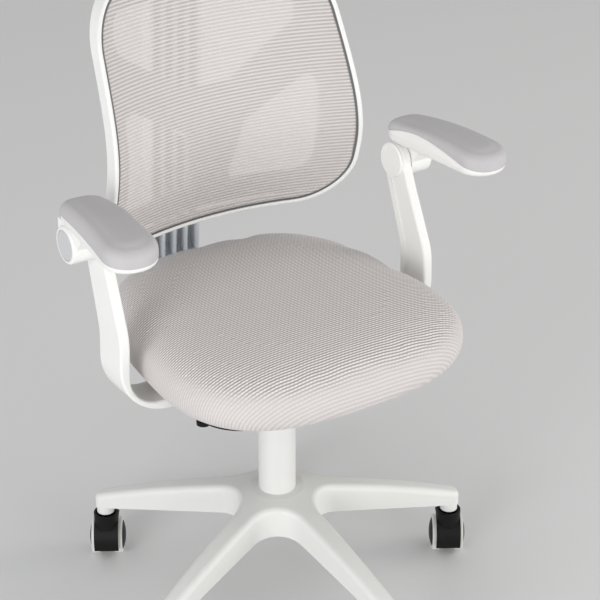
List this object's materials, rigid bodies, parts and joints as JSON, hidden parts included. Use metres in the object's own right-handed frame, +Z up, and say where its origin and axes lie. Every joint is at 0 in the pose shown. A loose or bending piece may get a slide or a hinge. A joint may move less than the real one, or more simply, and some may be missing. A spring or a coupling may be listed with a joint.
{
  "type": "kids desk chair",
  "caption": "Child's swivel desk chair: five-star caster base, gas lift, padded seat, wrapped mesh back on a ribbed spine, flip-up armrests and a side lever that presses the gas valve",
  "frame": {"origin": "on the floor under the gas column's axis", "axes": "+Z up, the seat faces -Y, +X to the viewer's right when the chair is seen from the front"},
  "size_m": [0.5718, 0.5654, 0.847],
  "materials": {
    "white_plastic": "satin moulded",
    "light_grey_plastic": "matte moulded",
    "pad_grey": "soft-touch foam skin",
    "white_tube": "powder coated",
    "black_plastic": "moulded",
    "dark_spline": "matte",
    "seat_fabric": "fine ribbed weave",
    "back_fabric": "open mesh weave",
    "dark_steel": "black enamel",
    "bright_steel": "zinc plated",
    "caster_black": "moulded nylon",
    "wheel_grey": "soft tread on grey discs"
  },
  "bodies": {
    "base": {"five_star_base": "white_plastic", "column_tube": "white_tube", "guide_sleeve": "black_plastic", "thrust_bearing": "bright_steel"},
    "gas_rod": {"piston_rod": "bright_steel", "rod_clip": "bright_steel"},
    "seat_unit": {"gas_cylinder": "dark_steel", "seat_plate": "dark_steel", "seat_pan": "black_plastic", "seat_cushion": "seat_fabric", "seat_bolts": "bright_steel", "lever_pin": "bright_steel", "arm_left": "white_plastic", "arm_right": "white_plastic", "hinge_pin_left": "bright_steel", "hinge_pin_right": "bright_steel", "hinge_cover_left": "light_grey_plastic", "hinge_cover_right": "light_grey_plastic", "back_frame": "white_plastic", "mesh_spline": "dark_spline", "back_mesh": "back_fabric", "back_support": "white_plastic", "back_spine": "white_plastic", "back_screws": "bright_steel"},
    "armrest_left": {"pad_base_left": "white_plastic", "arm_pad_left": "pad_grey", "barrel_cap_left": "light_grey_plastic"},
    "armrest_right": {"pad_base_right": "white_plastic", "arm_pad_right": "pad_grey", "barrel_cap_right": "light_grey_plastic"},
    "lever": {"height_lever": "black_plastic"},
    "valve": {"valve_button": "bright_steel"},
    "caster_1": {"caster_1_hood": "caster_black", "caster_1_stem": "bright_steel", "caster_1_axle": "bright_steel"},
    "caster_1_roller_a": {"caster_1_wheel_a": "wheel_grey"},
    "caster_1_roller_b": {"caster_1_wheel_b": "wheel_grey"},
    "caster_2": {"caster_2_hood": "caster_black", "caster_2_stem": "bright_steel", "caster_2_axle": "bright_steel"},
    "caster_2_roller_a": {"caster_2_wheel_a": "wheel_grey"},
    "caster_2_roller_b": {"caster_2_wheel_b": "wheel_grey"},
    "caster_3": {"caster_3_hood": "caster_black", "caster_3_stem": "bright_steel", "caster_3_axle": "bright_steel"},
    "caster_3_roller_a": {"caster_3_wheel_a": "wheel_grey"},
    "caster_3_roller_b": {"caster_3_wheel_b": "wheel_grey"},
    "caster_4": {"caster_4_hood": "caster_black", "caster_4_stem": "bright_steel", "caster_4_axle": "bright_steel"},
    "caster_4_roller_a": {"caster_4_wheel_a": "wheel_grey"},
    "caster_4_roller_b": {"caster_4_wheel_b": "wheel_grey"},
    "caster_5": {"caster_5_hood": "caster_black", "caster_5_stem": "bright_steel", "caster_5_axle": "bright_steel"},
    "caster_5_roller_a": {"caster_5_wheel_a": "wheel_grey"},
    "caster_5_roller_b": {"caster_5_wheel_b": "wheel_grey"}
  },
  "joints": [
    {"name": "seat_swivel", "type": "hinge", "parent": "base", "child": "gas_rod", "pos_m": [0, 0, 0.108], "axis": [0, 0, 1], "continuous": true},
    {"name": "height_slide", "type": "slide", "parent": "gas_rod", "child": "seat_unit", "axis": [0, 0, 1], "range_m": [0, 0.09]},
    {"name": "lever_pull", "type": "hinge", "parent": "seat_unit", "child": "lever", "pos_m": [-0.038, 0, 0.353], "axis": [0, 1, 0], "range_deg": [0, 6], "stiffness_Nm_per_rad": 0.5},
    {"name": "valve_press", "type": "slide", "parent": "seat_unit", "child": "valve", "axis": [0, 0, -1], "range_m": [0, 0.004]},
    {"name": "arm_flip_left", "type": "hinge", "parent": "seat_unit", "child": "armrest_left", "pos_m": [-0.242, 0.052, 0.573], "axis": [-1, 0, 0], "range_deg": [0, 90]},
    {"name": "arm_flip_right", "type": "hinge", "parent": "seat_unit", "child": "armrest_right", "pos_m": [0.242, 0.052, 0.573], "axis": [-1, 0, 0], "range_deg": [0, 90]},
    {"name": "caster_1_swivel", "type": "hinge", "parent": "base", "child": "caster_1", "pos_m": [0.13637, 0.21488, 0.075], "axis": [0, 0, 1], "continuous": true},
    {"name": "caster_1_roll_a", "type": "hinge", "parent": "caster_1", "child": "caster_1_roller_a", "pos_m": [0.1428, 0.22501, 0.026], "axis": [0.8443, -0.5358, 0], "continuous": true},
    {"name": "caster_1_roll_b", "type": "hinge", "parent": "caster_1", "child": "caster_1_roller_b", "pos_m": [0.1428, 0.22501, 0.026], "axis": [0.8443, -0.5358, 0], "continuous": true},
    {"name": "caster_2_swivel", "type": "hinge", "parent": "base", "child": "caster_2", "pos_m": [-0.16222, 0.1961, 0.075], "axis": [0, 0, 1], "continuous": true},
    {"name": "caster_2_roll_a", "type": "hinge", "parent": "caster_2", "child": "caster_2_roller_a", "pos_m": [-0.15579, 0.20623, 0.026], "axis": [0.8443, -0.5358, 0], "continuous": true},
    {"name": "caster_2_roll_b", "type": "hinge", "parent": "caster_2", "child": "caster_2_roller_b", "pos_m": [-0.15579, 0.20623, 0.026], "axis": [0.8443, -0.5358, 0], "continuous": true},
    {"name": "caster_3_swivel", "type": "hinge", "parent": "base", "child": "caster_3", "pos_m": [-0.23663, -0.09369, 0.075], "axis": [0, 0, 1], "continuous": true},
    {"name": "caster_3_roll_a", "type": "hinge", "parent": "caster_3", "child": "caster_3_roller_a", "pos_m": [-0.2302, -0.08356, 0.026], "axis": [0.8443, -0.5358, 0], "continuous": true},
    {"name": "caster_3_roll_b", "type": "hinge", "parent": "caster_3", "child": "caster_3_roller_b", "pos_m": [-0.2302, -0.08356, 0.026], "axis": [0.8443, -0.5358, 0], "continuous": true},
    {"name": "caster_4_swivel", "type": "hinge", "parent": "base", "child": "caster_4", "pos_m": [0.01598, -0.254, 0.075], "axis": [0, 0, 1], "continuous": true},
    {"name": "caster_4_roll_a", "type": "hinge", "parent": "caster_4", "child": "caster_4_roller_a", "pos_m": [0.02241, -0.24387, 0.026], "axis": [0.8443, -0.5358, 0], "continuous": true},
    {"name": "caster_4_roll_b", "type": "hinge", "parent": "caster_4", "child": "caster_4_roller_b", "pos_m": [0.02241, -0.24387, 0.026], "axis": [0.8443, -0.5358, 0], "continuous": true},
    {"name": "caster_5_swivel", "type": "hinge", "parent": "base", "child": "caster_5", "pos_m": [0.2465, -0.06329, 0.075], "axis": [0, 0, 1], "continuous": true},
    {"name": "caster_5_roll_a", "type": "hinge", "parent": "caster_5", "child": "caster_5_roller_a", "pos_m": [0.25293, -0.05316, 0.026], "axis": [0.8443, -0.5358, 0], "continuous": true},
    {"name": "caster_5_roll_b", "type": "hinge", "parent": "caster_5", "child": "caster_5_roller_b", "pos_m": [0.25293, -0.05316, 0.026], "axis": [0.8443, -0.5358, 0], "continuous": true}
  ],
  "couplings": [
    {"joint": "valve_press", "follows": "lever_pull", "m_per_rad": 0.038}
  ]
}
